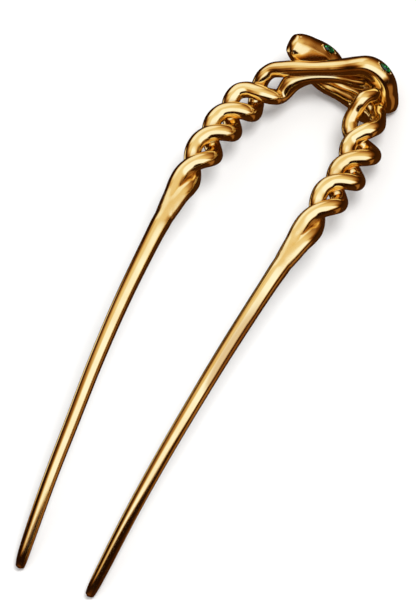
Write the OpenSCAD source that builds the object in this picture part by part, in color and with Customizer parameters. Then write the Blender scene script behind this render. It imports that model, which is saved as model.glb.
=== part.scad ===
// Two-prong hairpin: each leg is an open twist of two round strands above a solid tapered prong.
// At the crown one strand of each leg crosses to the other side and swells into a snake's head.
// Frame: X across the legs, +Y towards the crown, +Z up. Origin on the floor the pin lies on, at the middle
// of its length and width. The pin lies bowed side up: both prong tips and the crown touch the floor.

/* [Metal] */
// Sides around a snake
snake_sides = 16; // [12:2:24]
// Sides around a prong
prong_sides = 14; // [10:2:20]
// Sides around the strand that bridges the crown
bridge_sides = 12; // [8:2:20]
// Distance between rings along the twist
twist_gap = 1.05; // [0.5:0.05:2]
// Distance between rings over the crown and heads
crown_gap = 1.15; // [0.5:0.05:2]
// Distance between rings at the snouts
snout_gap = 0.32; // [0.2:0.01:1]
// Length over which a round strand changes into a neck
neck_blend = 5.6; // [3:0.1:9]
// Distance from the front snake's snout to where that change ends
front_neck_start = 20.2; // [12:0.1:26]
// Distance from the back snake's snout to where that change ends
back_neck_start = 13; // [12:0.1:26]

// Depth of a twist as a share of its width
twist_press = 0.55; // [0.4:0.01:1]
// How much steeper a strand dives to the back on one side than it comes forward on the other
twist_dive = 0.85; // [0:0.05:0.9]

/* [Eyes] */
// Stone length, tip to tip
stone_length = 2.5; // [2:0.05:4]
// Stone width
stone_width = 1.25; // [1:0.05:2]
// Crown height above the girdle
stone_crown = 0.25; // [0.2:0.01:0.5]
// Pavilion depth below the girdle
stone_depth = 0.6; // [0.4:0.01:1]
// Girdle thickness
stone_girdle = 0.08; // [0.05:0.01:0.15]
// Air between stone and metal
stone_gap = 0.06; // [0.04:0.01:0.1]
// Height of the girdle above the skin of the head
stone_rise = 0.1; // [0:0.01:0.3]
// Distance of the front snake's eyes from its snout
front_eye_back = 9.25; // [6:0.1:10]
// Distance of the back snake's eyes from its snout
back_eye_back = 6.9; // [5:0.1:10]
// Place of the front snake's eyes round its head, from the side of the jaw towards the top
front_eye_angle = 26; // [20:1:60]
// The same for the back snake's eyes
back_eye_angle = 44; // [20:1:60]
// Wall of the rim round a stone
rim_wall = 0.18; // [0.12:0.01:0.4]
// Height of the rim above the skin
rim_rise = 0.1; // [0.04:0.01:0.3]
// Radius of the grain at each end of a stone
grain_r = 0.22; // [0.15:0.01:0.35]

/* [Nostrils] */
// Length of a nostril slit
slit_length = 1.0; // [0.5:0.05:1.6]
// Radius of a nostril slit
slit_r = 0.13; // [0.08:0.01:0.2]
// Distance of the slits from the snout
slit_back = 0.8; // [0.5:0.1:2.5]
// Place of the front snake's slits round its head
front_slit_angle = 58; // [20:1:70]
// Place of the back snake's slits round its head
back_slit_angle = 41; // [20:1:70]

/* [Hidden] */
gold = [0.86, 0.62, 0.27];
green = [0.05, 0.42, 0.2];
step = 0.02;          // short step along a row table, for directions
twist_step = 0.2;     // rows of the leg table between two points of a strand
twist_first = 2.1;    // row where a strand leaves the twist at the crown
back_first = 2.5;     // the same for the strand that crosses behind
twist_last = 5.9;     // row where they start to close into the fork
twist_front = [0.435, -0.296, 0.85];  // direction the flat side of the twists faces
fork_rows = [7.95, 7.45, 7, 6.6, 6.25];  // rows of the strands' points inside the fork

// One leg's centre line, crown to tip: distance along Y, half gap, height.
leg_line = [
  [50.88, 0, 6.46],
  [50.48, 4.8, 6.46],
  [48.38, 9.5, 6.71],
  [43.08, 13, 6.71],
  [36.38, 14.15, 7.86],
  [28.88, 14.2, 9.61],
  [19.78, 13.9, 10.96],
  [14.28, 13.6, 11.46],
  [7.88, 13.25, 11.76],
  [-5.92, 12.35, 11.41],
  [-18.82, 11.35, 10.06],
  [-31.12, 10.25, 8.06],
  [-43.42, 9.3, 5.66],
  [-55.52, 8.35, 2.31],
  [-59.52, 7.95, 0.98],
  [-59.92, 7.9, 0.91]
];

// The twist at the first rows of that line: half turns of the right and of the left leg, coil radius, strand
// radius.
twist_rows = [
  [-1.0, -1.0, 2.0, 1.15],
  [-0.5, -0.5, 2.15, 1.2],
  [-0.48, -0.18, 2.6, 1.5],
  [0.59, 0.64, 2.6, 1.6],
  [1.68, 1.76, 2.3, 1.65],
  [2.92, 2.88, 2.1, 1.6],
  [3.91, 3.94, 1.17, 1.6],
  [4.0, 4.02, 0.67, 1.5],
  [4.3, 4.3, 0.0, 1.0]
];

// The solid prong, from its nose between the strands to its tip: row of the leg line, radius.
prong_rows = [
  [5.9, 0.35],
  [6.1, 0.8],
  [6.35, 1.35],
  [6.65, 1.75],
  [7, 1.92],
  [7.5, 1.88],
  [8, 1.75],
  [8.5, 1.66],
  [9, 1.6],
  [9.5, 1.55],
  [10, 1.5],
  [10.5, 1.46],
  [11, 1.42],
  [11.5, 1.38],
  [12, 1.34],
  [12.5, 1.29],
  [13, 1.2],
  [13.5, 1.08],
  [14, 0.9],
  [15, 0.6]
];

// The snake that crosses in front, from the left leg to its snout: place (x, y, z), upward direction of its
// back, radius while it is still a round strand.
front_rows = [
  [-8.51, 50.89, 8.68, -0.24, 0.67, 0.7, 1.62],
  [-5.54, 51.91, 9.21, -0.24, 0.67, 0.7, 1.6],
  [-2.56, 52.89, 9.6, -0.24, 0.67, 0.7, 1.52],
  [0.24, 54.06, 9.75, -0.24, 0.67, 0.7, 1.4],
  [2.96, 55.3, 9.72, -0.21, 0.8, 0.57, 1.4],
  [5.36, 56.36, 9.75, -0.11, 0.92, 0.38, 1.4],
  [7.64, 56.98, 9.39, 0.11, 0.99, 0.06, 1.4],
  [9.27, 56.76, 7.54, 0.31, 0.94, -0.1, 1.4],
  [10.1, 55.86, 4.78, 0.44, 0.88, -0.17, 1.4],
  [10.74, 54.7, 2.34, 0.49, 0.86, -0.17, 1.4],
  [11.01, 53.9, 0.49, 0.49, 0.86, -0.17, 1.4]
];

// The snake that crosses behind, from the right leg to its snout: the same columns.
back_rows = [
  [12.55, 49.16, 5.3, 0.79, 0.59, 0.16, 1.65],
  [10.29, 51.11, 4.31, 0.79, 0.59, 0.16, 2.15],
  [7.98, 51.3, 2.73, 0.74, 0.55, 0.39, 2.6],
  [5.3, 52.44, 2.39, 0.64, 0.44, 0.63, 2.25],
  [2.12, 53.11, 2.31, 0.56, 0.34, 0.75, 2.1],
  [-0.67, 53.98, 2.33, 0.5, 0.22, 0.84, 1.9],
  [-2.68, 55.02, 2.54, 0.47, 0.07, 0.88, 1.5],
  [-4.15, 56.04, 3.41, 0.44, -0.07, 0.89, 1.5],
  [-5.55, 56.26, 5.16, 0.39, -0.2, 0.9, 1.5],
  [-6.95, 56.16, 7.13, 0.4, -0.21, 0.89, 1.5],
  [-8.19, 56, 9.01, 0.4, -0.21, 0.89, 1.5],
  [-9.32, 55.66, 10.76, 0.4, -0.21, 0.89, 1.5]
];

// The strand that bridges the crown, left leg to right leg: place (x, y, z), radius.
bridge_rows = [
  [-6.72, 49.81, 6.56, 1.85],
  [-4.25, 51.46, 7.08, 1.4],
  [-1.54, 52.84, 7, 1.25],
  [1.41, 53.96, 6.72, 1.2],
  [4.86, 54.34, 6.7, 1.3],
  [8.4, 54.41, 7.3, 1.35],
  [10.15, 53.04, 8.07, 1.45],
  [9.69, 50.95, 9.41, 1.4]
];

// A head's cross-section: distance from the snout, half width, height above and depth below the jaw line,
// and how far the section has gone from round (0) to flat-bellied (1).
head_rows = [
  [0, 1.05, 0.78, 0.8, 1],
  [0.28, 1.65, 1.22, 1.3, 1],
  [0.92, 2.2, 1.58, 1.75, 1],
  [2.3, 2.87, 1.9, 2.05, 1],
  [4.6, 3.4, 2.15, 2.25, 1],
  [7.4, 3.9, 2.3, 2.3, 1],
  [9.7, 3.93, 2.3, 2.2, 0.9],
  [12, 3.4, 2.05, 2, 0.7],
  [14.7, 2.55, 1.8, 1.75, 0.4],
  [17.5, 1.95, 1.55, 1.5, 0.2],
  [22, 1.4, 1.3, 1.3, 0],
  [27.6, 1.3, 1.3, 1.3, 0]
];

function unit(v) = v / norm(v);
function place(row) = [row[0], row[1], row[2]];
function clamp(v) = min(1, max(0, v));
function column(rows, key, c) = lookup(key, [for (r = rows) [r[0], r[c]]]);

// Steepness of a table of rows at row i, where at(i) is the running length at each row.
function slope(rows, at, i) = (rows[i + 1] - rows[i]) / (at[i + 1] - at[i]);
function tangent(rows, at, i) =
  i == 0 ? slope(rows, at, 0)
  : i == len(rows) - 1 ? slope(rows, at, i - 1)
  : (slope(rows, at, i) * (at[i] - at[i - 1]) + slope(rows, at, i - 1) * (at[i + 1] - at[i]))
  / (at[i + 1] - at[i - 1]);

// A smooth curve through the rows, t from 0 to 1 between rows i and i + 1.
function between(rows, at, i, t) =
  let (h = at[i + 1] - at[i], t2 = t * t, t3 = t * t * t)
  rows[i] * (2 * t3 - 3 * t2 + 1) + tangent(rows, at, i) * h * (t3 - 2 * t2 + t)
  + rows[i + 1] * (3 * t2 - 2 * t3) + tangent(rows, at, i + 1) * h * (t3 - t2);

// The same at row u of a table whose rows are evenly spaced.
function curve(rows, u) =
  let (i = min(floor(u), len(rows) - 2))
  between(rows, [for (k = [0 : len(rows) - 1]) k], i, u - i);

// Centre line of the leg on one side (1 right, -1 left).
function leg_point(side, u) =
  let (p = curve(leg_line, u))
  [side * p[1], p[0], p[2]];

// Centre of a strand round the leg's line, with its radius.
function strand_point(side, which, u) =
  let (
    along = unit(leg_point(side, u + step) - leg_point(side, u - step)),
    rise = unit([0, along[2], -along[1]]),
    out = cross(rise, along),
    twist = curve(twist_rows, u),
    angle = 180 * ((side > 0 ? twist[0] : twist[1]) + which),
    away = side * (cos(angle) * out + sin(angle) * rise),
    front = unit(twist_front),
    dive = 1 + twist_dive * away * unit(cross(front, along)),
    c = leg_point(side, u) + twist[2] * (away + (away * front) * (twist_press * dive - 1) * front)
  )
  [c[0], c[1], c[2], twist[3]];

// A strand's points from the fork up to the crown.
function strand(side, which) =
  let (first = side > 0 && which == 0 ? back_first : twist_first)
  [
    for (u = concat(fork_rows, [for (u = [twist_last : -twist_step : first]) u]))
      strand_point(side, which, u)
  ];

// Distance run from the start of a list of points.
function run_lengths(points) =
  [
    for (
      i = 0, s = 0;
      i < len(points);
      s = s + (i + 1 < len(points) ? norm(place(points[i + 1]) - place(points[i])) : 0), i = i + 1
    ) s
  ];

// Points of the curve through a list of rows. The crown lies between rows first and last.
function rings_through(rows, first, last) =
  let (at = run_lengths(rows))
  [
    for (i = [0 : len(rows) - 2])
      let (
        gap = i == last - 2 ? snout_gap : i >= first && i < last ? crown_gap : twist_gap,
        n = max(1, round((at[i + 1] - at[i]) / gap))
      )
        for (k = [0 : n - 1]) between(rows, at, i, k / n),
    rows[len(rows) - 1]
  ];

function direction(points, i) =
  unit(place(points[min(i + 1, len(points) - 1)]) - place(points[max(i - 1, 0)]));

function heading(row) = [row[3], row[4], row[5]];

// A ring: centre, sideways and upward directions, half width, top, belly, flatness.
function ring(centre, along, side, wide, top, belly, flat) =
  [centre, side, cross(side, along), wide, top, belly, flat];

function power(v, e) = sign(v) * pow(abs(v), e);

// A point of a ring, angle counted from its right side over the top.
function ring_point(r, a) =
  r[0] + r[1] * r[3] * power(cos(a), 1 - 0.22 * r[6])
  + r[2] * (sin(a) >= 0 ? r[4] * power(sin(a), 1 - 0.12 * r[6]) : r[5] * power(sin(a), 1 - 0.35 * r[6]));

// Sideways directions of rings, counted back from the last one: from the given upward directions as far as
// ring flat_from, and turned no more than the curve turns before it.
function side_list(points, flat_from) =
  let (last = len(points) - 1)
  [
    for (
      i = last, s = unit(cross(direction(points, last), heading(points[last])));
      i >= 0;
      i = i - 1,
      s = i < 0 ? s
        : i >= flat_from ? unit(cross(direction(points, i), heading(points[i])))
        : unit(s - direction(points, i) * (s * direction(points, i)))
    ) s
  ];

// Rings of a snake: a strand from a fork, then its crossing and head.
function snake_rings(side, rows, neck_start) =
  let (
    start = [for (p = strand(side, 0)) [p[0], p[1], p[2], rows[0][3], rows[0][4], rows[0][5], p[3]]],
    points = rings_through(concat(start, rows), len(start), len(start) + len(rows)),
    run = run_lengths(points),
    last = len(points) - 1,
    round = [for (i = [0 : last]) if (run[last] - run[i] > neck_start) i],
    sides = side_list(points, len(round))
  )
  [
    for (i = [0 : last])
      let (
        back = run[last] - run[i],
        p = points[i],
        k = clamp((back - neck_start) / neck_blend),
        size = [for (c = [1 : 4]) column(head_rows, back, c)]
      )
        ring(
          place(p), direction(points, i), sides[last - i],
          size[0] * (1 - k) + p[6] * k, size[1] * (1 - k) + p[6] * k,
          size[2] * (1 - k) + p[6] * k, size[3] * (1 - k)
        )
  ];

// Rings of a round bar through points that carry an upward direction and their radius.
function round_rings(points) =
  let (last = len(points) - 1, sides = side_list(points, last))
  [
    for (i = [0 : last])
      let (p = points[i]) ring(place(p), direction(points, i), sides[last - i], p[6], p[6], p[6], 0)
  ];

// A closed skin through rings.
module skin(rings, sides) {
  count = len(rings);
  points = [for (r = rings) for (j = [0 : sides - 1]) ring_point(r, 360 * j / sides)];
  walls = [
    for (i = [0 : count - 2])
      for (j = [0 : sides - 1])
        let (a = i * sides + j, b = i * sides + (j + 1) % sides)
          for (f = [[a, b + sides, a + sides], [a, b, b + sides]]) f
  ];
  first = [for (j = [sides - 1 : -1 : 0]) j];
  last = [for (j = [0 : sides - 1]) (count - 1) * sides + j];
  polyhedron(points, concat(walls, [first, last]));
}

front_rings = snake_rings(-1, front_rows, front_neck_start);
back_rings = snake_rings(1, back_rows, back_neck_start);

// A ring between two rings, at a distance from the snout.
function ring_at(rings, back) =
  let (
    run = run_lengths([for (r = rings) r[0]]),
    at = run[len(run) - 1] - back,
    i = min(len(run) - 1, len([for (s = run) if (s <= at) s])) - 1,
    t = (at - run[i]) / (run[i + 1] - run[i])
  )
  rings[i] * (1 - t) + rings[i + 1] * t;

function skin_point(rings, back, angle) = ring_point(ring_at(rings, back), angle);

// A frame on the skin: a place, forward, sideways and outward directions. Angles past 90 are on its left.
function skin_frame(rings, back, angle) =
  let (
    reach = min(crown_gap, back),
    forward = unit(skin_point(rings, back - reach, angle) - skin_point(rings, back + reach, angle)),
    round = unit(skin_point(rings, back, angle + 4) - skin_point(rings, back, angle - 4)),
    outward = unit(cross(forward, round))
  )
  [skin_point(rings, back, angle), forward, cross(outward, forward), outward];

module on_skin(f) {
  multmatrix([for (k = [0 : 2]) [f[1][k], f[2][k], f[3][k], f[0][k]]]) children();
}

// Outline of a marquise: two arcs that meet in a point at each end.
function marquise(grow, shrink) =
  [
    for (i = [0 : 15])
      let (a = 22.5 * i, half = stone_length / 2 * shrink + grow * 1.5)
        [half * cos(a), (stone_width / 2 * shrink + grow) * power(sin(a), 1.35)]
  ];

// Outline of the stone itself, eight corners.
function stone_ring(shrink, h) =
  [
    for (i = [0 : 7])
      let (a = 45 * i)
        [stone_length / 2 * shrink * cos(a), stone_width / 2 * shrink * power(sin(a), 1.35), h]
  ];

// A cut stone: table, eight crown facets, girdle, eight pavilion facets down to a short keel.
module stone() {
  low = stone_rise;
  high = low + stone_girdle;
  points = concat(
    stone_ring(0.55, high + stone_crown), stone_ring(1, high), stone_ring(1, low),
    stone_ring(0.2, low - stone_depth)
  );
  sides = [
    for (k = [0 : 2])
      for (j = [0 : 7])
        let (a = 8 * k + j, b = 8 * k + (j + 1) % 8)
          for (f = [[a, b + 8, a + 8], [a, b, b + 8]]) f
  ];
  polyhedron(points, concat(sides, [[for (j = [7 : -1 : 0]) j], [for (j = [0 : 7]) 24 + j]]));
}

module rim() {
  translate([0, 0, -0.5])
    linear_extrude(0.5 + rim_rise)
      polygon(marquise(stone_gap + rim_wall, 1));
}

module pocket() {
  translate([0, 0, stone_rise - stone_depth - 0.12])
    linear_extrude(stone_depth + 2)
      polygon(marquise(stone_gap, 1));
}

// A grain of metal pushed over one end of a stone without touching it.
module grain(end) {
  foot = stone_length / 2 + 2 * stone_gap + grain_r;
  hull() {
    translate([end * foot, 0, 0]) sphere(grain_r, $fn = 6);
    translate([end * (foot - 0.22), 0, stone_rise + stone_girdle + grain_r]) sphere(grain_r * 0.7, $fn = 6);
  }
}

module slit() {
  hull()
    for (e = [-1, 1])
      translate([e * (slit_length / 2 - slit_r), 0, 0]) sphere(slit_r, $fn = 6);
}

function side_frames(rings, back, angle) = [for (a = [angle, 180 - angle]) skin_frame(rings, back, a)];
front_eyes = side_frames(front_rings, front_eye_back, front_eye_angle);
back_eyes = side_frames(back_rings, back_eye_back, back_eye_angle);
front_slits = side_frames(front_rings, slit_back, front_slit_angle);
back_slits = side_frames(back_rings, slit_back, back_slit_angle);

module snake(rings, eyes, slits) {
  difference() {
    union() {
      skin(rings, snake_sides);
      for (f = eyes) on_skin(f) rim();
    }
    for (f = eyes) on_skin(f) pocket();
    for (f = slits) on_skin(f) slit();
  }
  for (f = eyes) on_skin(f) for (end = [-1, 1]) grain(end);
}

module bridge() {
  left = strand(-1, 1);
  right = strand(1, 1);
  rows = concat(left, bridge_rows, [for (i = [len(right) - 1 : -1 : 0]) right[i]]);
  points = rings_through(
    [for (r = rows) [r[0], r[1], r[2], 0, 0, 1, r[3]]], len(left), len(left) + len(bridge_rows)
  );
  skin(round_rings(points), bridge_sides);
}

module prong(side) {
  skin(
    round_rings([for (r = prong_rows) let (p = leg_point(side, r[0])) [p[0], p[1], p[2], 0, 0, 1, r[1]]]),
    prong_sides
  );
}

module pin() {
  color(gold) {
    snake(front_rings, front_eyes, front_slits);
    snake(back_rings, back_eyes, back_slits);
    bridge();
    prong(1);
    prong(-1);
  }
}

module front_right_eye() {
  color(green) on_skin(front_eyes[0]) stone();
}

module front_left_eye() {
  color(green) on_skin(front_eyes[1]) stone();
}

module back_right_eye() {
  color(green) on_skin(back_eyes[0]) stone();
}

module back_left_eye() {
  color(green) on_skin(back_eyes[1]) stone();
}

pin();
front_right_eye();
front_left_eye();
back_right_eye();
back_left_eye();
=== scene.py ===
import math

import bmesh
import bpy
import numpy as np
from mathutils import Matrix, Vector
from mathutils.bvhtree import BVHTree


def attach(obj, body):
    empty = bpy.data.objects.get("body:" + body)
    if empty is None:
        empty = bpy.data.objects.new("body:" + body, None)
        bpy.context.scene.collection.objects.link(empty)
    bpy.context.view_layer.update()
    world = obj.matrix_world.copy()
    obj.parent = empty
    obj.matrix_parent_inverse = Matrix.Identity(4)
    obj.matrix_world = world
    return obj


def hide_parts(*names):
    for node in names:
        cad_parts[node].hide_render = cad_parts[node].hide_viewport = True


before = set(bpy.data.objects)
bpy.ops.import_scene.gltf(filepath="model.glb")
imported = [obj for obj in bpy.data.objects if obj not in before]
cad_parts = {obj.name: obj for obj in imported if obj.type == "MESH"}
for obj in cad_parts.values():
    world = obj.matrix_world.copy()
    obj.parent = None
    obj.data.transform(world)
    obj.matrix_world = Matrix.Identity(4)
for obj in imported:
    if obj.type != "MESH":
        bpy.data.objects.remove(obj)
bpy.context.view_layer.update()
mm = 0.001  # the tables are in millimetres, the meshes in metres
print("frame loaded:", ", ".join(sorted(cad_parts)))


class Wire:  # a socket of a node tree; a sum or product of wires adds its Math node
    def __init__(self, tree, socket=None):
        self.tree = tree
        self.socket = socket

    def add(self, kind, settings=None, sockets=None, output=0):
        node = self.tree.nodes.new(kind)
        for name, value in (settings or {}).items():
            if name == "stops":
                self.setStops(node.color_ramp, value)
            else:
                setattr(node, name, value)
        for name, value in (sockets or {}).items():
            for source in value if isinstance(value, list) else [value]:
                if isinstance(source, Wire):
                    self.tree.links.new(source.socket, node.inputs[name])
                else:
                    node.inputs[name].default_value = source
        return Wire(self.tree, node.outputs[output] if len(node.outputs) else None)

    def beside(self, output):  # another output of the node that this wire leaves
        return Wire(self.tree, self.socket.node.outputs[output])

    def setStops(self, ramp, stops):
        while len(ramp.elements) < len(stops):
            ramp.elements.new(0.5)
        for element, (place, colour) in zip(ramp.elements, stops):
            element.position = place
            element.color = colour

    def math(self, operation, *values):
        return self.add("ShaderNodeMath", {"operation": operation}, dict(enumerate(values)))

    def __add__(self, other):
        return self.math("ADD", self, other)

    def __radd__(self, other):
        return self.math("ADD", other, self)

    def __sub__(self, other):
        return self.math("SUBTRACT", self, other)

    def __rsub__(self, other):
        return self.math("SUBTRACT", other, self)

    def __mul__(self, other):
        return self.math("MULTIPLY", self, other)

    def __rmul__(self, other):
        return self.math("MULTIPLY", other, self)

    def __truediv__(self, other):
        return self.math("DIVIDE", self, other)

    def vector(self, operation, *values):
        return self.add("ShaderNodeVectorMath", {"operation": operation}, dict(enumerate(values)))

    def between(self, low, high, newLow=0.0, newHigh=1.0):  # a smooth step from low to high
        return self.add(
            "ShaderNodeMapRange", {"interpolation_type": "SMOOTHSTEP"},
            {0: self, 1: low, 2: high, 3: newLow, 4: newHigh},
        )

    def noise(self, place, scale, detail):
        return self.add("ShaderNodeTexNoise", None, {"Vector": place, "Scale": scale, "Detail": detail})

    def tint(self, colourA, colourB):  # this wire mixes two colours
        return self.add(
            "ShaderNodeMix", {"data_type": "RGBA"},
            {"Factor": self, 6: colourA, 7: colourB}, output=2,
        )


# the legs: one centre line each, with two strands twisted round its upper part

leg = {
    # distance along Y, half gap between the legs, height
    "line": [
        [50.88, 0, 6.46],
        [50.48, 4.8, 6.46],
        [48.38, 9.5, 6.71],
        [43.08, 13, 6.71],
        [36.38, 14.15, 7.86],
        [28.88, 14.2, 9.61],
        [19.78, 13.9, 10.96],
        [14.28, 13.6, 11.46],
        [7.88, 13.25, 11.76],
        [-5.92, 12.35, 11.41],
        [-18.82, 11.35, 10.06],
        [-31.12, 10.25, 8.06],
        [-43.42, 9.3, 5.66],
        [-55.52, 8.35, 2.31],
        [-59.52, 7.95, 0.98],
        [-59.92, 7.9, 0.91]
    ],
    # right leg's half turns, left leg's half turns, coil radius, strand radius
    "twist": [
        [-1.0, -1.0, 2.0, 1.15],
        [-0.5, -0.5, 2.15, 1.2],
        [-0.48, -0.18, 2.6, 1.5],
        [0.59, 0.64, 2.6, 1.6],
        [1.68, 1.76, 2.3, 1.65],
        [2.92, 2.88, 2.1, 1.6],
        [3.91, 3.94, 1.17, 1.6],
        [4.0, 4.02, 0.67, 1.5],
        [4.3, 4.3, 0.0, 1.0]
    ],
    # row of the line, radius of the solid prong
    "prong": [
        [5.9, 0.35],
        [6.1, 0.8],
        [6.35, 1.35],
        [6.65, 1.75],
        [7, 1.92],
        [7.5, 1.88],
        [8, 1.75],
        [8.5, 1.66],
        [9, 1.6],
        [9.5, 1.55],
        [10, 1.5],
        [10.5, 1.46],
        [11, 1.42],
        [11.5, 1.38],
        [12, 1.34],
        [12.5, 1.29],
        [13, 1.2],
        [13.5, 1.08],
        [14, 0.9],
        [15, 0.6]
    ],
    "forkRoot": 6.8,  # row of the line where the strands sink into each prong
    "forkReach": 5,  # the forks are softened up to this far from there
    "forkRows": [7.95, 7.45, 7, 6.6, 6.25],  # rows of the strands' points inside the fork
    "twistLast": 5.9,  # row where the twist starts to close into the fork
    "twistFirst": 2.1,  # row where a strand leaves the twist at the crown
    "backFirst": 2.5,  # the strand that crosses behind leaves the twist sooner
    "twistStep": 0.2,  # rows from one point of a strand to the next
    "front": (0.435, -0.296, 0.85),  # the coils are pressed flatter in this direction, to this share
    "pressed": 0.55,
    "dive": 0.85,  # and a strand comes to the front gently on one side and dives steeply on the other
    "prongNose": 0.4,  # length of the rounding at the start of a prong
    "prongTip": 0.5,  # and at its tip
    "fineRows": 800,  # points along a prong for measuring its length
}


def unit(v):
    return v / np.linalg.norm(v, axis=-1, keepdims=True)


def across(a, b):  # dot product, row by row
    return np.sum(a * b, axis=-1, keepdims=True)


def smoothThrough(rows, at, where):  # a smooth curve through the rows, which stand at these distances
    rows, at, where = np.asarray(rows, float), np.asarray(at, float), np.atleast_1d(where).astype(float)
    gap = np.diff(at)[:, None]
    slope = np.diff(rows, axis=0) / gap
    inner = (slope[1:] * gap[:-1] + slope[:-1] * gap[1:]) / (gap[1:] + gap[:-1])
    tangent = np.vstack([slope[:1], inner, slope[-1:]])
    i = np.clip(np.searchsorted(at, where, "right") - 1, 0, len(at) - 2)
    h = gap[i]
    t = (where - at[i])[:, None] / h
    return (
        rows[i] * (2 * t**3 - 3 * t**2 + 1) + tangent[i] * h * (t**3 - 2 * t**2 + t)
        + rows[i + 1] * (3 * t**2 - 2 * t**3) + tangent[i + 1] * h * (t**3 - t**2)
    )


def legPoint(side, u):
    p = smoothThrough(leg["line"], range(len(leg["line"])), u)
    return np.stack([side * p[:, 1], p[:, 0], p[:, 2]], -1)


def strandPoints(side, which):  # a strand from the fork up to the crown: x, y, z, radius
    first = leg["backFirst"] if side > 0 and which == 0 else leg["twistFirst"]
    u = np.array(leg["forkRows"] + list(np.arange(leg["twistLast"], first - 1e-6, -leg["twistStep"])))
    along = unit(legPoint(side, u + 0.02) - legPoint(side, u - 0.02))
    rise = unit(np.stack([0 * u, along[:, 2], -along[:, 1]], -1))
    out = np.cross(rise, along)
    twist = smoothThrough(leg["twist"], range(len(leg["twist"])), u)
    angle = np.pi * (twist[:, 0 if side > 0 else 1] + which)[:, None]
    away = side * (np.cos(angle) * out + np.sin(angle) * rise)
    front = np.array(leg["front"])
    dive = 1 + leg["dive"] * across(away, unit(np.cross(front, along)))
    level = across(away, front) * (leg["pressed"] * dive - 1)
    centre = legPoint(side, u) + twist[:, 2:3] * (away + level * front)
    return np.column_stack([centre, twist[:, 3]])


# the snakes: each grows out of one strand, crosses the crown and ends in a head

snakes = {
    # x, y, z, upward direction of the back, radius while it is still a round strand
    "front": {
        "rows": [
            [-8.51, 50.89, 8.68, -0.24, 0.67, 0.7, 1.62],
            [-5.54, 51.91, 9.21, -0.24, 0.67, 0.7, 1.6],
            [-2.56, 52.89, 9.6, -0.24, 0.67, 0.7, 1.52],
            [0.24, 54.06, 9.75, -0.24, 0.67, 0.7, 1.4],
            [2.96, 55.3, 9.72, -0.21, 0.8, 0.57, 1.4],
            [5.36, 56.36, 9.75, -0.11, 0.92, 0.38, 1.4],
            [7.64, 56.98, 9.39, 0.11, 0.99, 0.06, 1.4],
            [9.27, 56.76, 7.54, 0.31, 0.94, -0.1, 1.4],
            [10.1, 55.86, 4.78, 0.44, 0.88, -0.17, 1.4],
            [10.74, 54.7, 2.34, 0.49, 0.86, -0.17, 1.4],
            [11.01, 53.9, 0.49, 0.49, 0.86, -0.17, 1.4]
        ],
        "neckStart": 20.2,  # beyond this distance from the snout the section turns back into a round strand
        "eyeBack": 9.25,  # distance of the eyes from the snout
        "eyeAngle": 26,  # place round the head, from the side of the jaw towards the top
        "slitAngle": 58,  # the same for the nostril slits
    },
    "back": {
        "rows": [
            [12.55, 49.16, 5.3, 0.79, 0.59, 0.16, 1.65],
            [10.29, 51.11, 4.31, 0.79, 0.59, 0.16, 2.15],
            [7.98, 51.3, 2.73, 0.74, 0.55, 0.39, 2.6],
            [5.3, 52.44, 2.39, 0.64, 0.44, 0.63, 2.25],
            [2.12, 53.11, 2.31, 0.56, 0.34, 0.75, 2.1],
            [-0.67, 53.98, 2.33, 0.5, 0.22, 0.84, 1.9],
            [-2.68, 55.02, 2.54, 0.47, 0.07, 0.88, 1.5],
            [-4.15, 56.04, 3.41, 0.44, -0.07, 0.89, 1.5],
            [-5.55, 56.26, 5.16, 0.39, -0.2, 0.9, 1.5],
            [-6.95, 56.16, 7.13, 0.4, -0.21, 0.89, 1.5],
            [-8.19, 56, 9.01, 0.4, -0.21, 0.89, 1.5],
            [-9.32, 55.66, 10.76, 0.4, -0.21, 0.89, 1.5]
        ],
        "neckStart": 13,
        "eyeBack": 6.9,
        "eyeAngle": 44,
        "slitAngle": 41,
    },
}
head = {
    # distance from the snout, half width, height above and depth below the jaw line, flatness of the belly
    "rows": [
        [0, 1.05, 0.78, 0.8, 1],
        [0.28, 1.65, 1.22, 1.3, 1],
        [0.92, 2.2, 1.58, 1.75, 1],
        [2.3, 2.87, 1.9, 2.05, 1],
        [4.6, 3.4, 2.15, 2.25, 1],
        [7.4, 3.9, 2.3, 2.3, 1],
        [9.7, 3.93, 2.3, 2.2, 0.9],
        [12, 3.4, 2.05, 2, 0.7],
        [14.7, 2.55, 1.8, 1.75, 0.4],
        [17.5, 1.95, 1.55, 1.5, 0.2],
        [22, 1.4, 1.3, 1.3, 0],
        [27.6, 1.3, 1.3, 1.3, 0]
    ],
    "fineFrom": 18,  # rings stand closer from this far behind the snout
    "neckBlend": 5.6,  # length over which a neck turns into a round strand
    "noseRound": 0.5,
    "slitBack": 0.8,
    "slitLength": 1.0,
    "slitRadius": 0.13,
    "slitDepth": 1.6,  # depth of the slits against their width
}
square = {"side": 0.22, "top": 0.12, "belly": 0.35}  # how square a flat head's section gets on each side
bridge = {
    # x, y, z, radius
    "rows": [
        [-6.72, 49.81, 6.56, 1.85],
        [-4.25, 51.46, 7.08, 1.4],
        [-1.54, 52.84, 7, 1.25],
        [1.41, 53.96, 6.72, 1.2],
        [4.86, 54.34, 6.7, 1.3],
        [8.4, 54.41, 7.3, 1.35],
        [10.15, 53.04, 8.07, 1.45],
        [9.69, 50.95, 9.41, 1.4]
    ],
}
spacing = {
    "twist": 0.45,  # between two rings
    "crown": 0.4,
    "head": 0.25,
    "snakeSides": 48,
    "barSides": 40,
    "endRings": 9,  # rings in a rounded end
    "shortStep": 0.02,  # step along a path, for its direction
    "neckRounds": 10,  # rounds of smoothing from the neck to the snout
    "snoutKept": 2,  # rings this near the snout stay as they are
    "endMerge": 0.3,  # a last gap shorter than this share of a gap joins the one before
}


def runLengths(points):
    return np.concatenate([[0], np.cumsum(np.linalg.norm(np.diff(points[:, :3], axis=0), axis=1))])


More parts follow.
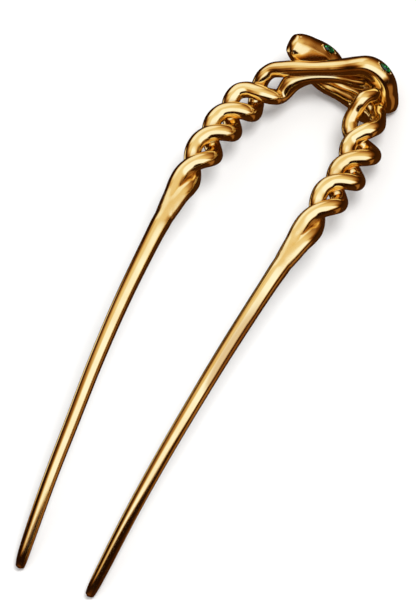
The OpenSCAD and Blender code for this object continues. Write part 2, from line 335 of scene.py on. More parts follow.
def stations(total, changes, roundStart=0.0, roundEnd=0.0):  # places along a path, by (from where, what gap)
    quarter = np.linspace(0, np.pi / 2, spacing["endRings"])
    places = list(roundStart * (1 - np.cos(quarter))) if roundStart else [0.0]
    end = total - roundEnd
    while places[-1] < end - 1e-6:
        gap = [g for start, g in changes if places[-1] >= start - 1e-6][-1]
        places.append(min(places[-1] + gap, end))
    if end - places[-2] < spacing["endMerge"] * gap:
        places.pop(-2)
    if roundEnd:
        places += list(end + roundEnd * np.sin(quarter)[1:])
    return np.array(places)


def turned(along, firstUp, upward, flatFrom):  # sideways directions, carried back from the last ring
    sideways = np.zeros_like(along)
    carried = unit(np.cross(along[-1], firstUp))
    for i in range(len(along) - 1, -1, -1):
        if i >= flatFrom:
            carried = unit(np.cross(along[i], upward[i]))
        else:
            carried = unit(carried - along[i] * across(carried, along[i]))
        sideways[i] = carried
    return sideways


def roundedEnd(distance, length):  # grows from 0 at an end to 1, as a quarter circle does
    x = np.clip(distance / length, 0, 1)
    return np.sqrt(1 - (1 - x) ** 2)


def ringsAlong(knots, where, at):
    step = spacing["shortStep"]
    points = smoothThrough(knots, at, where)
    ahead = smoothThrough(knots[:, :3], at, np.minimum(where + step, at[-1]))
    behind = smoothThrough(knots[:, :3], at, np.maximum(where - step, 0))
    return points, unit(ahead - behind)


def ironed(values, first, last):  # the values of rings first to last drawn towards their neighbours' mean
    values = values.copy()
    for _ in range(spacing["neckRounds"]):
        before, after = values[first - 1:last - 1], values[first + 1:last + 1]
        values[first:last] = (before + 2 * values[first:last] + after) / 4
    return values


def snakeRings(side, snake):
    rows = np.array(snake["rows"], float)
    strand = strandPoints(side, 0)
    start = np.column_stack([strand[:, :3], np.tile(rows[0, 3:6], (len(strand), 1)), strand[:, 3]])
    knots = np.vstack([start, rows])
    at = runLengths(knots)
    changes = [
        (0, spacing["twist"]),
        (at[len(start)], spacing["crown"]),
        (at[-1] - head["fineFrom"], spacing["head"]),
    ]
    where = stations(at[-1], changes, roundEnd=head["noseRound"])
    points, along = ringsAlong(knots, where, at)
    run = runLengths(points)
    back = run[-1] - run
    neck, nose = int(np.sum(back > snake["neckStart"])), int(np.sum(back > spacing["snoutKept"]))
    points = ironed(points, neck, nose)
    along = unit(ironed(along, neck, nose))
    sideways = turned(along, points[-1, 3:6], points[:, 3:6], neck)
    table = np.array(head["rows"], float)
    size = smoothThrough(table[:, 1:], table[:, 0], np.minimum(back, table[-1, 0]))
    k = np.clip((back - snake["neckStart"]) / head["neckBlend"], 0, 1)
    k = (k * k * (3 - 2 * k))[:, None]
    section = size[:, :3] * (1 - k) + points[:, 6:7] * k
    section *= roundedEnd(back, head["noseRound"])[:, None]
    return {
        "centre": points[:, :3], "along": along, "sideways": sideways, "upward": np.cross(sideways, along),
        "wide": section[:, 0], "top": section[:, 1], "belly": section[:, 2],
        "flat": np.clip(size[:, 3] * (1 - k[:, 0]), 0, 1), "back": back,
    }


def roundRings(points, along, radius):
    up = np.tile([0.0, 0.0, 1.0], (len(points), 1))
    sideways = turned(along, up[-1], up, len(points))
    return {
        "centre": points, "along": along, "sideways": sideways, "upward": np.cross(sideways, along),
        "wide": radius, "top": radius, "belly": radius, "flat": 0 * radius,
    }


def bridgeRings():
    left, right = strandPoints(-1, 1), strandPoints(1, 1)
    knots = np.vstack([left, bridge["rows"], right[::-1]])
    at = runLengths(knots)
    points, along = ringsAlong(knots, stations(at[-1], [(0, spacing["twist"])]), at)
    return roundRings(points[:, :3], along, points[:, 3])


def prongRings(side):
    table = np.array(leg["prong"], float)
    fine = np.linspace(table[0, 0], table[-1, 0], leg["fineRows"])
    at = runLengths(legPoint(side, fine))
    where = stations(at[-1], [(0, spacing["twist"])], leg["prongNose"], leg["prongTip"])
    u = np.interp(where, at, fine)
    along = unit(legPoint(side, u + 0.01) - legPoint(side, u - 0.01))
    radius = smoothThrough(table[:, 1:], table[:, 0], u)[:, 0]
    radius = radius * roundedEnd(at[-1] - where, leg["prongTip"]) * roundedEnd(where, leg["prongNose"])
    return roundRings(legPoint(side, u), along, radius)


def startTree(name, inputs):  # a geometry tree with these named inputs and one output
    tree = bpy.data.node_groups.new(name, "GeometryNodeTree")
    for label, kind in inputs.items():
        tree.interface.new_socket(label, in_out="INPUT", socket_type="NodeSocket" + kind)
    tree.interface.new_socket("Result", in_out="OUTPUT", socket_type="NodeSocketGeometry")
    sheet = Wire(tree)
    entry = sheet.add("NodeGroupInput")
    return sheet, [entry.beside(label) for label in inputs]


def finishTree(sheet, shape, metal):
    whole = sheet.add("GeometryNodeRealizeInstances", None, {"Geometry": shape})
    smooth = sheet.add("GeometryNodeSetShadeSmooth", None, {"Geometry": whole, "Shade Smooth": True})
    finished = sheet.add("GeometryNodeSetMaterial", None, {"Geometry": smooth, "Material": metal})
    sheet.add("NodeGroupOutput", None, {"Result": finished})
    return sheet.tree


def buildSweepTree():  # a grid wrapped round the rings of a path and closed at both ends
    sheet, (path, rings, sides, metal) = startTree("sweptBody", {
        "Path": "Geometry", "Rings": "Int", "Sides": "Int", "Metal": "Material",
    })
    grid = sheet.add("GeometryNodeMeshGrid", None, {
        "Size X": 1.0, "Size Y": 1.0, "Vertices X": rings, "Vertices Y": sides + 1,
    })
    place = sheet.add("GeometryNodeInputPosition")
    split = sheet.add("ShaderNodeSeparateXYZ", None, {0: place})
    ringIndex = sheet.math("ROUND", (split.beside("X") + 0.5) * (rings - 1))
    angle = (split.beside("Y") + 0.5) * (2 * math.pi)

    def onRing(value, kind):  # a value of the path's point that this point's ring stands on
        return sheet.add(
            "GeometryNodeSampleIndex", {"data_type": kind},
            {"Geometry": path, "Value": value, "Index": ringIndex},
        )

    def sample(name, kind="FLOAT"):
        return onRing(sheet.add("GeometryNodeInputNamedAttribute", {"data_type": kind}, {"Name": name}), kind)

    flat = sample("flat")
    wave, lift = sheet.math("COSINE", angle), sheet.math("SINE", angle)

    def rounded(value, part):  # keeps the sign and raises the size to a power
        size = sheet.math("POWER", sheet.math("ABSOLUTE", value), 1 - flat * square[part])
        return sheet.math("SIGN", value) * size

    def scaled(name, size):
        direction = sample(name, "FLOAT_VECTOR")
        return sheet.add("ShaderNodeVectorMath", {"operation": "SCALE"}, {0: direction, "Scale": size})

    isTop = sheet.math("GREATER_THAN", lift, 0.0)
    over = rounded(lift, "top") * sample("top") * isTop
    under = rounded(lift, "belly") * sample("belly") * (1 - isTop)
    wide = rounded(wave, "side") * sample("wide")
    offset = sheet.vector("ADD", scaled("sideways", wide), scaled("upward", over + under))
    position = sheet.vector("ADD", onRing(place, "FLOAT_VECTOR"), offset)
    moved = sheet.add("GeometryNodeSetPosition", None, {"Geometry": grid, "Position": position})
    closed = sheet.add("GeometryNodeMergeByDistance", None, {"Geometry": moved, "Distance": 1e-6})
    return finishTree(sheet, closed, metal)


def buildSettingTree():  # a wire round an eye's outline with a grain of metal at each marked point
    sheet, (outline, wireRadius, wireSides, grainRadius, metal) = startTree("eyeSetting", {
        "Outline": "Geometry", "Wire Radius": "Float", "Wire Sides": "Int", "Grain Radius": "Float",
        "Metal": "Material",
    })
    isGrain = sheet.add("GeometryNodeInputNamedAttribute", {"data_type": "BOOLEAN"}, {"Name": "isGrain"})
    grains = sheet.add("GeometryNodeSeparateGeometry", None, {"Geometry": outline, "Selection": isGrain})
    curve = sheet.add("GeometryNodeMeshToCurve", None, {"Mesh": grains.beside("Inverted")})
    profile = sheet.add(
        "GeometryNodeCurvePrimitiveCircle", None, {"Resolution": wireSides, "Radius": wireRadius},
    )
    ridge = sheet.add("GeometryNodeCurveToMesh", None, {"Curve": curve, "Profile Curve": profile})
    ball = sheet.add("GeometryNodeMeshUVSphere", None, {"Segments": 20, "Rings": 12, "Radius": grainRadius})
    balls = sheet.add("GeometryNodeInstanceOnPoints", None, {"Points": grains, "Instance": ball})
    joined = sheet.add("GeometryNodeJoinGeometry", None, {"Geometry": [ridge, balls]})
    return finishTree(sheet, joined, metal)


def addObject(name, mesh):
    thing = bpy.data.objects.new(name, mesh)
    bpy.context.scene.collection.objects.link(thing)
    return thing


def setInputs(modifier, values):  # by the sockets' identifiers
    for item in modifier.node_group.interface.items_tree:
        if item.in_out == "INPUT" and item.name in values:
            modifier[item.identifier] = values[item.name]


def settle(thing):  # applies the modifiers and leaves a plain mesh
    bpy.context.view_layer.update()
    seen = thing.evaluated_get(bpy.context.evaluated_depsgraph_get())
    mesh = bpy.data.meshes.new_from_object(seen)
    thing.modifiers.clear()
    thing.data = mesh
    return mesh


def meshPoints(mesh):  # in millimetres
    flatList = np.empty(len(mesh.vertices) * 3)
    mesh.vertices.foreach_get("co", flatList)
    return flatList.reshape(-1, 3) / mm


def movePoints(mesh, points):
    mesh.vertices.foreach_set("co", np.ravel(points * mm))
    mesh.update()


def meshNormals(mesh):
    flatList = np.empty(len(mesh.vertices) * 3)
    mesh.vertex_normals.foreach_get("vector", flatList)
    return flatList.reshape(-1, 3)


def faceOutward(mesh):
    form = bmesh.new()
    form.from_mesh(mesh)
    if form.calc_volume(signed=True) < 0:
        bmesh.ops.reverse_faces(form, faces=form.faces)
        form.to_mesh(mesh)
    form.free()


def addValues(mesh, name, kind, values):
    key = "vector" if kind == "FLOAT_VECTOR" else "value"
    mesh.attributes.new(name, kind, "POINT").data.foreach_set(key, np.ravel(values))


def sweep(name, rings, sides):
    path = bpy.data.meshes.new(name + "Path")
    count = len(rings["centre"])
    path.from_pydata((rings["centre"] * mm).tolist(), [(i, i + 1) for i in range(count - 1)], [])
    for key in ("sideways", "upward"):
        addValues(path, key, "FLOAT_VECTOR", rings[key])
    for key in ("wide", "top", "belly"):
        addValues(path, key, "FLOAT", rings[key] * mm)
    addValues(path, "flat", "FLOAT", rings["flat"])
    body = addObject(name, path)
    modifier = body.modifiers.new("sweep", "NODES")
    modifier.node_group = sweepTree
    setInputs(modifier, {"Rings": count, "Sides": sides, "Metal": gold})
    faceOutward(settle(body))
    return body


def closeEnds(rings):  # one more ring of no size at each end that isn't a point yet
    first, last = rings["wide"][0] > 1e-6, rings["wide"][-1] > 1e-6
    closed = {}
    for key, values in rings.items():
        ends = 0 if key in ("wide", "top", "belly") else 1
        parts = [values[:1] * ends] * first + [values] + [values[-1:] * ends] * last
        closed[key] = np.concatenate(parts)
    return closed


# where strands meet, the metal swells into a soft solder fillet

fillets = {
    "fork": 0.3,  # how near two bodies are where they swell towards each other, at the forks
    "touch": 0.25,  # and anywhere else
    "evenRounds": 6,  # rounds of smoothing of the swelling
    "forkRounds": 10,  # rounds of smoothing of the skin at the forks
    "forkShare": (0.1, 0.3),  # how near a fork the smoothing starts, and over how much it grows to full
    "creaseReach": 0.8,  # painted shade darkens the gold this near another body
    "creasePower": 1.5,
    "creaseRounds": 2,
    "creaseFork": 0.3,  # and doesn't nearer to a fork than this share of its reach
    "sharpFrom": 30,  # degrees between two faces from which their edge stays sharp
}


def clearance(points, rings):  # distance from points to a swept body's skin, by the nearest ring
    centre = rings["centre"]
    gap = (points**2).sum(1)[:, None] - 2 * points @ centre.T + (centre**2).sum(1)
    near = np.argmin(gap, axis=1)
    offset = points - centre[near]
    along = across(offset, rings["along"][near])[:, 0]
    x = across(offset, rings["sideways"][near])[:, 0]
    y = across(offset, rings["upward"][near])[:, 0]
    reach = np.hypot(x, y) + 1e-9
    wide = np.maximum(rings["wide"][near], 0.02)
    high = np.maximum(np.where(y > 0, rings["top"][near], rings["belly"][near]), 0.02)
    flat = rings["flat"][near]
    powerX = 2 / (1 - square["side"] * flat)
    powerY = 2 / (1 - np.where(y > 0, square["top"], square["belly"]) * flat)
    fill = (np.abs(x / reach) / wide) ** powerX + (np.abs(y / reach) / high) ** powerY
    radial = reach - fill ** (-2 / (powerX + powerY))
    ends = ((near == 0) & (along < 0)) | ((near == len(centre) - 1) & (along > 0))
    beyond = np.where(ends, np.abs(along), 0)
    return np.where(beyond > 0, np.hypot(np.maximum(radial, 0), beyond), radial)


def evened(mesh, values, rounds):  # each value drawn towards the mean of its neighbours
    edges = np.empty(2 * len(mesh.edges), dtype=np.int32)
    mesh.edges.foreach_get("vertices", edges)
    ends = np.concatenate([edges.reshape(-1, 2), edges.reshape(-1, 2)[:, ::-1]])
    count = np.bincount(ends[:, 0], minlength=len(values)) + 1
    for _ in range(rounds):
        values = (values + np.bincount(ends[:, 0], values[ends[:, 1]], len(values))) / count
    return values


def swellTowards(mesh, others):
    points = meshPoints(mesh)
    push = np.zeros(len(points))
    for rings, reach in others:
        gap = np.abs(clearance(points, rings))
        push += reach / 4 * np.maximum(1 - gap / reach, 0) ** 2
    movePoints(mesh, points + meshNormals(mesh) * evened(mesh, push, fillets["evenRounds"])[:, None])


def nearForks(points):  # 1 where the strands sink into the prongs, fading to 0
    near = np.zeros(len(points))
    for side in (-1, 1):
        away = np.linalg.norm(points - legPoint(side, leg["forkRoot"])[0], axis=1)
        near = np.maximum(near, np.clip(1 - away / leg["forkReach"], 0, 1))
    return near


def softenForks(mesh):  # the seams where the prongs take over from the strands are smoothed away
    points = meshPoints(mesh)
    smooth = np.column_stack([evened(mesh, points[:, axis], fillets["forkRounds"]) for axis in range(3)])
    start, grow = fillets["forkShare"]
    share = np.clip((nearForks(points) - start) / grow, 0, 1)[:, None]
    movePoints(mesh, points + (smooth - points) * share)


def combine(target, others, operation):
    for other in others:
        modifier = target.modifiers.new("join", "BOOLEAN")
        modifier.operation = operation
        modifier.solver = "MANIFOLD"
        modifier.object = other
    mesh = settle(target)
    for other in others:
        bpy.data.objects.remove(other)
    return mesh


# the eyes: a marquise stone in a pocket, with a wire rim and a grain at each end

eye = {
    "length": 2.5,
    "width": 1.25,
    "crown": 0.25,  # height above the girdle
    "table": 0.55,  # size of the table against the girdle
    "depth": 0.6,  # below the girdle
    "girdle": 0.08,
    "gap": 0.06,  # between stone and pocket
    "rise": 0.1,  # the girdle above the skin
    "pocketFloor": 0.12,  # the pocket goes this much deeper than the stone
    "pocketTop": 2.2,
    "pointed": 1.35,  # how sharp the two ends are
    "star": (0.8, 0.58),  # size and height of the corners below the table, against girdle and crown
    "pavilion": (0.62, 0.5),  # size and depth of the corners below the girdle, against girdle and depth
    "keel": 0.2,  # size of the keel against the girdle
    "rimRadius": 0.12,
    "rimRise": 0.03,
    "rimOverlap": 0.02,  # the rim reaches this far over the pocket's edge
    "rimSides": 12,
    "grainRadius": 0.23,
    "grainRise": 0.1,
    "grainOut": 0.9,  # a grain's centre stands out past the pocket by this share of its radius
    "outline": 56,  # points round the outline
    "probe": 2,  # the skin under the rim is found from this far above
    "skinReach": 1.15,  # an eye lies along the skin between places this far before and behind it
    "skinAngle": 4,  # and this many degrees above and below it
}


def ringAt(rings, back):  # a ring between two rings, that far from the snout
    order = slice(None, None, -1)
    ring = {}
    for key in ("centre", "sideways", "upward"):
        ring[key] = np.array([np.interp(back, rings["back"][order], rings[key][order, c]) for c in range(3)])
    for key in ("wide", "top", "belly", "flat"):
        ring[key] = np.interp(back, rings["back"][order], rings[key][order])
    return ring


def signedPower(value, exponent):
    return np.sign(value) * np.abs(value) ** exponent


def skinPoint(rings, back, angle):
    ring = ringAt(rings, back)
    wave, lift = math.cos(math.radians(angle)), math.sin(math.radians(angle))
    part = "top" if lift >= 0 else "belly"
    high = ring[part] * signedPower(lift, 1 - square[part] * ring["flat"])
    wide = ring["wide"] * signedPower(wave, 1 - square["side"] * ring["flat"])
    return ring["centre"] + ring["sideways"] * wide + ring["upward"] * high


def skinFrame(rings, back, angle):  # place, forward, sideways and outward directions, in millimetres
    reach, turn = min(eye["skinReach"], back), eye["skinAngle"]
    forward = unit(skinPoint(rings, back - reach, angle) - skinPoint(rings, back + reach, angle))
    roundAbout = unit(skinPoint(rings, back, angle + turn) - skinPoint(rings, back, angle - turn))
    outward = unit(np.cross(forward, roundAbout))
    return skinPoint(rings, back, angle), forward, np.cross(outward, forward), outward


def bothSides(rings, back, angle):  # such frames on the right and left of a head
    return {"right": skinFrame(rings, back, angle), "left": skinFrame(rings, back, 180 - angle)}


def onSkin(frameOf, points):
    place, forward, sideways, outward = frameOf
    points = np.asarray(points, float)
    return place + points[:, :1] * forward + points[:, 1:2] * sideways + points[:, 2:3] * outward


def marquise(count, grow, scale=1.0, shift=0.0):
    a = 2 * np.pi * (np.arange(count) + shift) / count
    halfLength = eye["length"] / 2 * scale + grow * 1.5
    halfWidth = eye["width"] / 2 * scale + grow
    return np.column_stack([halfLength * np.cos(a), halfWidth * signedPower(np.sin(a), eye["pointed"])])


def prism(name, outline, low, high, frameOf):
    count = len(outline)
    points = [[x, y, z] for z in (low, high) for x, y in outline]
    sides = [(i, (i + 1) % count, count + (i + 1) % count, count + i) for i in range(count)]
    faces = sides + [tuple(range(count))[::-1], tuple(range(count, 2 * count))]
    mesh = bpy.data.meshes.new(name)
    mesh.from_pydata((onSkin(frameOf, points) * mm).tolist(), [], faces)
    faceOutward(mesh)
    return addObject(name, mesh)


def slitCutter(name, frameOf):  # a stretched ball
    form = bmesh.new()
    bmesh.ops.create_uvsphere(form, u_segments=24, v_segments=14, radius=1)
    wide = head["slitRadius"]
    for v in form.verts:
        ball = [[v.co.x * head["slitLength"] / 2, v.co.y * wide, v.co.z * wide * head["slitDepth"]]]
        v.co = onSkin(frameOf, ball)[0] * mm
    mesh = bpy.data.meshes.new(name)
    form.to_mesh(mesh)
    form.free()
    faceOutward(mesh)
    return addObject(name, mesh)


def setting(name, frameOf, skin):  # the rim and grains lie on the head's own skin
    place, forward, sideways, outward = frameOf
    loop = marquise(eye["outline"], eye["gap"] + eye["rimRadius"] - eye["rimOverlap"])
    foot = eye["length"] / 2 + 2 * eye["gap"] + eye["grainRadius"] * eye["grainOut"]
    points = []
    for x, y in list(loop) + [(foot, 0), (-foot, 0)]:
        start = Vector((place + forward * x + sideways * y + outward * eye["probe"]) * mm)
        hit = skin.ray_cast(start, Vector(-outward), 3 * eye["probe"] * mm)[0]
        lift = eye["rimRise" if len(points) < len(loop) else "grainRise"]
        points.append(np.array(hit) / mm + outward * lift)
    count = len(loop)
    mesh = bpy.data.meshes.new(name)
    mesh.from_pydata((np.array(points) * mm).tolist(), [(i, (i + 1) % count) for i in range(count)], [])
    addValues(mesh, "isGrain", "BOOLEAN", [i >= count for i in range(count + 2)])
    thing = addObject(name, mesh)
    modifier = thing.modifiers.new("setting", "NODES")
    modifier.node_group = settingTree
    setInputs(modifier, {
        "Wire Radius": eye["rimRadius"] * mm, "Wire Sides": eye["rimSides"],
        "Grain Radius": eye["grainRadius"] * mm, "Metal": gold,
    })
    faceOutward(settle(thing))
    return thing


def cutStone(name, frameOf):  # table, stars, kites, girdle, pavilion and a short keel
    low, high = eye["rise"], eye["rise"] + eye["girdle"]
    (starSize, starHeight), (deepSize, deepShare) = eye["star"], eye["pavilion"]
    layers = [
        (marquise(8, 0, eye["table"]), high + eye["crown"]),
        (marquise(8, 0, starSize, 0.5), high + eye["crown"] * starHeight),
        (marquise(16, 0), high),
        (marquise(16, 0), low),
        (marquise(8, 0, deepSize, 0.5), low - eye["depth"] * deepShare),
        (marquise(8, 0, eye["keel"]), low - eye["depth"]),
    ]
    table, mid, top, bottom, deep, keel = 0, 8, 16, 32, 48, 56  # where each layer's points start
    points = [[x, y, z] for outline, z in layers for x, y in outline]
    faces = [tuple(range(8)), tuple(keel + i for i in range(7, -1, -1))]
    for i in range(8):
        n, before = (i + 1) % 8, (i - 1) % 8
        faces += [
            (table + i, table + n, mid + i),
            (table + i, mid + before, top + 2 * i, mid + i),
            (mid + i, top + 2 * i, top + 2 * i + 1),
            (mid + i, top + 2 * i + 1, top + (2 * i + 2) % 16),
            (keel + i, keel + n, deep + i),
            (keel + i, deep + before, bottom + 2 * i, deep + i),
            (deep + i, bottom + 2 * i, bottom + 2 * i + 1),
            (deep + i, bottom + 2 * i + 1, bottom + (2 * i + 2) % 16),
        ]
    faces += [(top + i, top + (i + 1) % 16, bottom + (i + 1) % 16, bottom + i) for i in range(16)]
    mesh = bpy.data.meshes.new(name)
    mesh.from_pydata((onSkin(frameOf, points) * mm).tolist(), [], faces)
    form = bmesh.new()
    form.from_mesh(mesh)
    bmesh.ops.recalc_face_normals(form, faces=form.faces)
    form.to_mesh(mesh)
    form.free()
    faceOutward(mesh)
    mesh.materials.append(greenStone)
    return addObject(name, mesh)


# materials


def newMaterial(name):
    material = bpy.data.materials.new(name)
    material.use_nodes = True
    material.node_tree.nodes.clear()
    return material, Wire(material.node_tree)


def finishMaterial(material, sheet, values):
    shader = sheet.add("ShaderNodeBsdfPrincipled", None, values)
    sheet.add("ShaderNodeOutputMaterial", None, {"Surface": shader})
    return material


goldLook = {
    "bright": (1.0, 0.77, 0.34, 1),
    "deep": (0.96, 0.70, 0.28, 1),
    # a painted shade colour: the gold is darkened towards it in creases near other bodies
    "crease": (0.74, 0.46, 0.16, 1),
    "roughness": 0.085,
    "wornRough": 0.04,  # what each kind of wear adds to it
    "lineRough": 0.04,
    "creaseRough": 0.08,
    "satinRough": 0.14,
    "cloudScale": 160,
    "fineScale": 2600,
    "lineTurn": (0.3, 0.2, 0.5),  # the polishing lines run aslant
    "lineScale": (9000, 700, 9000),
    "bumpHeight": 0.00003,
}


def makeGold():
    material, sheet = newMaterial("polishedGold")
    place = sheet.add("ShaderNodeTexCoord", output="Object")
    cloud = sheet.noise(place, goldLook["cloudScale"], 3.0)
    fine = sheet.noise(place, goldLook["fineScale"], 2.0)
    stretch = sheet.add("ShaderNodeMapping", None, {
        "Vector": place, "Rotation": goldLook["lineTurn"], "Scale": goldLook["lineScale"],
    })
    lines = sheet.noise(stretch, 1.0, 1.0)
    crease = sheet.add("ShaderNodeAttribute", {"attribute_name": "crease"}, output="Fac")
    satin = sheet.add("ShaderNodeAttribute", {"attribute_name": "satin"}, output="Fac")
    worn = cloud.between(0.35, 0.68)
    openGold = worn.tint(goldLook["bright"], goldLook["deep"])
    # painted shade: the colour darkens towards the painted crease shade colour near other bodies, where shade
    # falls
    colour = crease.between(0.1, 1.0).tint(openGold, goldLook["crease"])
    roughness = goldLook["roughness"] + worn * goldLook["wornRough"] \
        + lines.between(0.5, 0.75) * goldLook["lineRough"] \
        + crease * goldLook["creaseRough"] + satin * goldLook["satinRough"]
    bump = sheet.add("ShaderNodeBump", None, {
        "Height": fine * 0.5 + lines * 0.3, "Strength": 0.06, "Distance": goldLook["bumpHeight"],
    })
    return finishMaterial(material, sheet, {
        "Base Color": colour, "Metallic": 1.0, "Roughness": roughness, "Normal": bump,
    })


stoneLook = {
    "deep": (0.0005, 0.006, 0.002, 1),
    "veil": (0.004, 0.07, 0.016, 1),
    "paintedSparkle": (0.03, 0.5, 0.12, 1),
    "veilScale": 1300,
    "paintedSparkleScale": 1500,
}


def makeGreenStone():  # the facets mirror the soft boxes over a dark green body, whose colour holds painted sparkles of light
    material, sheet = newMaterial("greenStone")
    place = sheet.add("ShaderNodeTexCoord", output="Object")
    veil = sheet.noise(place, stoneLook["veilScale"], 3.0)
    paintedSparkle = sheet.add("ShaderNodeTexVoronoi", None, {"Vector": place, "Scale": stoneLook["paintedSparkleScale"]})
    body = veil.between(0.35, 0.7).tint(stoneLook["deep"], stoneLook["veil"])
    # painted glints: bright green sparkle spots are painted into the stone's colour
    colour = paintedSparkle.between(0.12, 0.3, 1.0, 0.0).tint(body, stoneLook["paintedSparkle"])
    return finishMaterial(material, sheet, {
        "Base Color": colour, "Roughness": 0.03, "IOR": 1.9, "Specular IOR Level": 0.22,
    })


def makePaleFloor():
    material, sheet = newMaterial("paleFloor")
    place = sheet.add("ShaderNodeTexCoord", output="Object")
    mottle = sheet.noise(place, 40, 4.0)
    colour = mottle.between(0.3, 0.7).tint((0.9, 0.895, 0.885, 1), (0.92, 0.915, 0.905, 1))
    return finishMaterial(material, sheet, {"Base Color": colour, "Roughness": 0.7})


gold = makeGold()
greenStone = makeGreenStone()
sweepTree = buildSweepTree()
settingTree = buildSettingTree()
print("materials and node trees ready")

# the metal: five swept bodies, filleted towards each other and joined into one skin

ringSets = {
    "front": closeEnds(snakeRings(-1, snakes["front"])),
    "back": closeEnds(snakeRings(1, snakes["back"])),
    "bridge": closeEnds(bridgeRings()),
    "leftProng": closeEnds(prongRings(-1)),
    "rightProng": closeEnds(prongRings(1)),
}
bodies = {
    name: sweep(name, rings, spacing["snakeSides" if name in snakes else "barSides"])
    for name, rings in ringSets.items()
}
print("swept bodies:", {name: len(body.data.vertices) for name, body in bodies.items()})
skins = {
    name: BVHTree.FromObject(bodies[name], bpy.context.evaluated_depsgraph_get()) for name in snakes
}
for name, body in bodies.items():
    others = []
    for other, rings in ringSets.items():
        if other != name:
            isFork = "Prong" in name or "Prong" in other
            others.append((rings, fillets["fork" if isFork else "touch"]))
    swellTowards(body.data, others)

pin = bodies["front"]
pin.name = "goldPin"
combine(pin, [body for name, body in bodies.items() if name != "front"], "UNION")
softenForks(pin.data)
print("joined metal:", len(pin.data.vertices), "points")

eyes, pockets, slits, settings = [], [], [], []
pocketOutline = marquise(eye["outline"], eye["gap"])
pocketFloor = eye["rise"] - eye["depth"] - eye["pocketFloor"]
for snakeName, snake in snakes.items():
    rings = ringSets[snakeName]
    for side, place in bothSides(rings, snake["eyeBack"], snake["eyeAngle"]).items():
        eyes.append((snakeName, side, place))
        name = snakeName + side.capitalize()
        pockets.append(prism(name + "Pocket", pocketOutline, pocketFloor, eye["pocketTop"], place))
        settings.append(setting(name + "Setting", place, skins[snakeName]))
    for side, place in bothSides(rings, head["slitBack"], snake["slitAngle"]).items():
        slits.append(slitCutter(snakeName + side.capitalize() + "Slit", place))
combine(pin, pockets + slits, "DIFFERENCE")
combine(pin, settings, "UNION")
print("settings and slits done:", len(pin.data.vertices), "points")


def dressMetal(mesh):  # painted crease shade and satin amounts for the material, and edges that stay sharp
    points = meshPoints(mesh)
    gaps = np.sort(np.stack([clearance(points, rings) for rings in ringSets.values()], -1), axis=1)
    nearness = np.clip(1 - gaps[:, 1] / fillets["creaseReach"], 0, 1) ** fillets["creasePower"]
    # the painted crease shade grows as another body comes nearer
    crease = evened(mesh, nearness, fillets["creaseRounds"])
    fork = nearForks(points)
    addValues(mesh, "crease", "FLOAT", crease * (1 - np.clip(fork / fillets["creaseFork"], 0, 1)))
    addValues(mesh, "satin", "FLOAT", fork)
    form = bmesh.new()
    form.from_mesh(mesh)
    bmesh.ops.triangulate(form, faces=form.faces)
    bmesh.ops.dissolve_degenerate(form, dist=2e-6, edges=form.edges)
    sameCorners = {}
    for face in form.faces:
        sameCorners.setdefault(frozenset(face.verts), []).append(face)
    folded = [face for faces in sameCorners.values() if len(faces) > 1 for face in faces]
    bmesh.ops.delete(form, geom=folded, context="FACES")  # slivers back to back are no part of the skin
    for face in form.faces:
        face.smooth = True
    sharpFrom = math.radians(fillets["sharpFrom"])
    for edge in form.edges:
        edge.smooth = len(edge.link_faces) == 2 and edge.calc_face_angle(0) < sharpFrom
    form.to_mesh(mesh)
    form.free()
    mesh.materials.clear()
    mesh.materials.append(gold)


dressMetal(pin.data)
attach(pin, "root")
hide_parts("pin")
print("gold pin:", len(pin.data.polygons), "triangles")

for snakeName, side, place in eyes:
    stone = cutStone(snakeName + side.capitalize() + "Eye", place)
    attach(stone, "root")
    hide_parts(snakeName + "_" + side + "_eye")
print("four stones set")

# floor, light and camera

studio = {
    "right": Vector((0.837, 0.480, -0.261)),  # the picture's right and up, in the pin's own frame
    "up": Vector((-0.330, 0.826, 0.457)),
    "target": Vector((-3.82, 5.49, -2.97)) * mm,
    "width": 79.74 * mm,  # of the picture, at the pin
    "tallness": 600 / 416,  # of the picture, against its width
    "distance": 2.5,
    "sensor": 36,
    "keyLight": (0.19, 0.39, 0.88),  # its direction as right, up and towards the camera
    "keyDistance": 3,
    "keyPower": 60,
    "keySize": 1.3,
    "floorHalf": 6,
    "seen": (0.95, 0.95, 0.945, 1),  # the room's colour to the camera, and the fill light it gives the floor
    "fill": (0.75, 0.75, 0.75, 1),
}


def towards(right, up, near):
    right0, up0 = studio["right"].normalized(), studio["up"].normalized()
    return (right * right0 + up * up0 + near * right0.cross(up0)).normalized()


def addCamera():
    data = bpy.data.cameras.new("camera")
    camera = addObject("camera", data)
    back = towards(0, 0, 1)
    right, up = studio["right"].normalized(), back.cross(studio["right"].normalized())
    turn = Matrix((right, up, back)).transposed()
    camera.matrix_world = Matrix.Translation(studio["target"] + back * studio["distance"]) @ turn.to_4x4()
    data.sensor_width = studio["sensor"]
    data.lens = data.sensor_width * studio["distance"] / (studio["width"] * studio["tallness"])
    data.clip_start, data.clip_end = 0.05, 20
    bpy.context.scene.camera = camera


def addForm(name, form, material):
    mesh = bpy.data.meshes.new(name)
    form.to_mesh(mesh)
    form.free()
    mesh.materials.append(material)
    return addObject(name, mesh)


def addFloor():
    form = bmesh.new()
    bmesh.ops.create_grid(form, x_segments=1, y_segments=1, size=studio["floorHalf"])
    floor = addForm("floor", form, makePaleFloor())
    floor.visible_glossy = False


def addKeyLight():
    data = bpy.data.lights.new("softbox", "AREA")
    data.shape, data.size, data.energy = "DISK", studio["keySize"], studio["keyPower"]
    light = addObject("softbox", data)
    direction = towards(*studio["keyLight"])
    turn = direction.to_track_quat("Z", "Y").to_matrix().to_4x4()
    light.matrix_world = Matrix.Translation(direction * studio["keyDistance"]) @ turn
    light.visible_camera = False
    light.visible_glossy = False


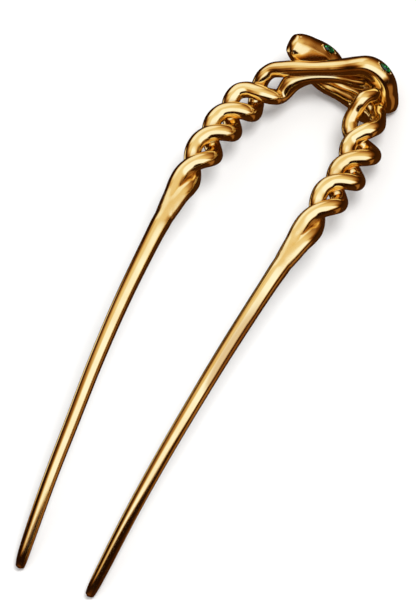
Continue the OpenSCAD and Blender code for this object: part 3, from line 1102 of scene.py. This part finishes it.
# what the metal mirrors: a tent of light round the pin, so near that its two ends mirror it differently.
# Its soft boxes are placed by direction from the zenith, about as tan(angle / 2) along X and along Y.
# Each has a glow, and along X and along Y the places where it starts, is full, is full no more and ends.
# Its Y places rise by the tilt for every unit along X.
softBoxes = {
    "above": {"x": (-0.42, 0.06, 0.66, 0.92), "y": (-0.31, -0.22, 0.15, 0.5), "tilt": 0.28, "glow": 0.98},
    "beyond": {"x": (-0.72, -0.2, 0.3, 0.8), "y": (-0.2, 0.12, 0.3, 1.15), "tilt": 0, "glow": 0.79},
    "upperLeft": {"x": (-0.62, -0.45, -0.2, 0.1), "y": (0.12, 0.32, 0.6, 1.0), "tilt": 0, "glow": 0.9},
    "nearSide": {"x": (-0.9, -0.1, 0.1, 0.9), "y": (-1.6, -0.85, -0.7, -0.38), "tilt": 0, "glow": 0.22},
    "leftWindow": {"x": (-1.5, -1.25, -0.95, -0.8), "y": (-0.25, -0.1, 0.25, 0.4), "tilt": 0, "glow": 0.85},
    "rightLow": {"x": (0.95, 1.25, 3.0, 5.0), "y": (-0.1, 0.15, 0.6, 0.9), "tilt": 0, "glow": 0.36},
}
# the tent's colour by brightness: warm and dark where it is dim, cool white in the boxes
glowStops = [
    (0.0, (0.006, 0.002, 0.0006, 1)), (0.25, (0.165, 0.053, 0.009, 1)), (0.5, (0.47, 0.25, 0.09, 1)),
    (0.75, (0.81, 0.67, 0.43, 1)), (0.9, (0.96, 1.02, 1.2, 1)), (1.0, (1.06, 1.24, 1.85, 1)),
]
tent = {
    "radius": 170,
    "centre": (0, -20, 5),
    "dim": 0.012,  # its brightness between the boxes
    "floorSide": 0.07,  # and below
    "lowest": 1.02,  # a little over 1, so that its lowest point has a place in the pattern
}


def makeTentLight():
    material, sheet = newMaterial("tentLight")
    place = sheet.add("ShaderNodeTexCoord", output="Object")
    split = sheet.add("ShaderNodeSeparateXYZ", None, {0: sheet.vector("NORMALIZE", place)})
    z = split.beside("Z")
    reach = tent["lowest"] + z
    x, y = split.beside("X") / reach, split.beside("Y") / reach
    glow = (0 - z).between(-0.2, 0.6, tent["dim"], tent["floorSide"])
    for box in softBoxes.values():
        level = y - x * box["tilt"]
        inside = x.between(*box["x"][:2]) * (1 - x.between(*box["x"][2:]))
        inside = inside * level.between(*box["y"][:2]) * (1 - level.between(*box["y"][2:]))
        glow = sheet.math("MAXIMUM", glow, inside * box["glow"])
    shine = sheet.add("ShaderNodeValToRGB", {"stops": glowStops}, {"Fac": glow})
    material.cycles.emission_sampling = "NONE"
    return finishMaterial(material, sheet, {
        "Base Color": (0, 0, 0, 1), "Specular IOR Level": 0.0, "Emission Color": shine,
        "Emission Strength": 1.0,
    })


def addTent():
    form = bmesh.new()
    bmesh.ops.create_icosphere(form, subdivisions=4, radius=tent["radius"] * mm)
    sphere = addForm("tent", form, makeTentLight())
    sphere.location = Vector(tent["centre"]) * mm
    for unseenBy in ("visible_camera", "visible_diffuse", "visible_shadow"):
        setattr(sphere, unseenBy, False)


def makeWorld():  # the pale room that the camera and the floor see
    world = bpy.data.worlds.new("studio")
    bpy.context.scene.world = world
    world.use_nodes = True
    world.node_tree.nodes.clear()
    sheet = Wire(world.node_tree)
    colour = sheet.add("ShaderNodeLightPath", output="Is Camera Ray").tint(studio["fill"], studio["seen"])
    back = sheet.add("ShaderNodeBackground", None, {"Color": colour, "Strength": 1.0})
    sheet.add("ShaderNodeOutputWorld", None, {"Surface": back})


addCamera()
addFloor()
addKeyLight()
addTent()
makeWorld()
bpy.context.scene.view_settings.view_transform = "Standard"
print("floor, light and camera placed")
